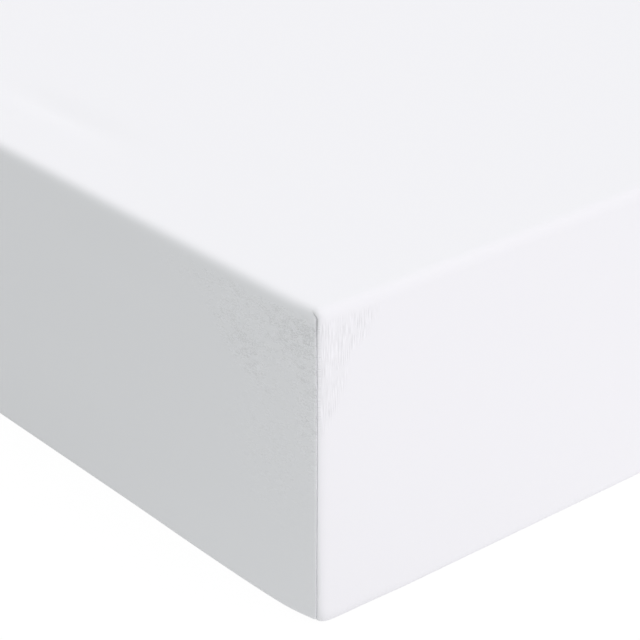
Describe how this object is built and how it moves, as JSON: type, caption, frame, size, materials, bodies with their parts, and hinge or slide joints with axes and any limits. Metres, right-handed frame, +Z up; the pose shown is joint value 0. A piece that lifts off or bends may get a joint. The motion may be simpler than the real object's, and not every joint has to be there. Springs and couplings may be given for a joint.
{
  "type": "fitted sheet on a mattress",
  "caption": "White knitted fitted sheet pulled taut over a plain single mattress, with upright corner seams and a gathered hem tucked underneath.",
  "frame": {"origin": "middle of the underside, on the surface that the mattress lies on", "axes": "+X across the bed, +Y along the bed, +Z up"},
  "size_m": [0.9095, 2.0087, 0.2],
  "materials": {
    "sheet_cloth": "white cotton jersey, fine knit, matt",
    "mattress_cover": "plain off-white woven mattress cover, matt"
  },
  "bodies": {
    "root": {"fitted_sheet": "sheet_cloth", "mattress": "mattress_cover"}
  },
  "joints": []
}
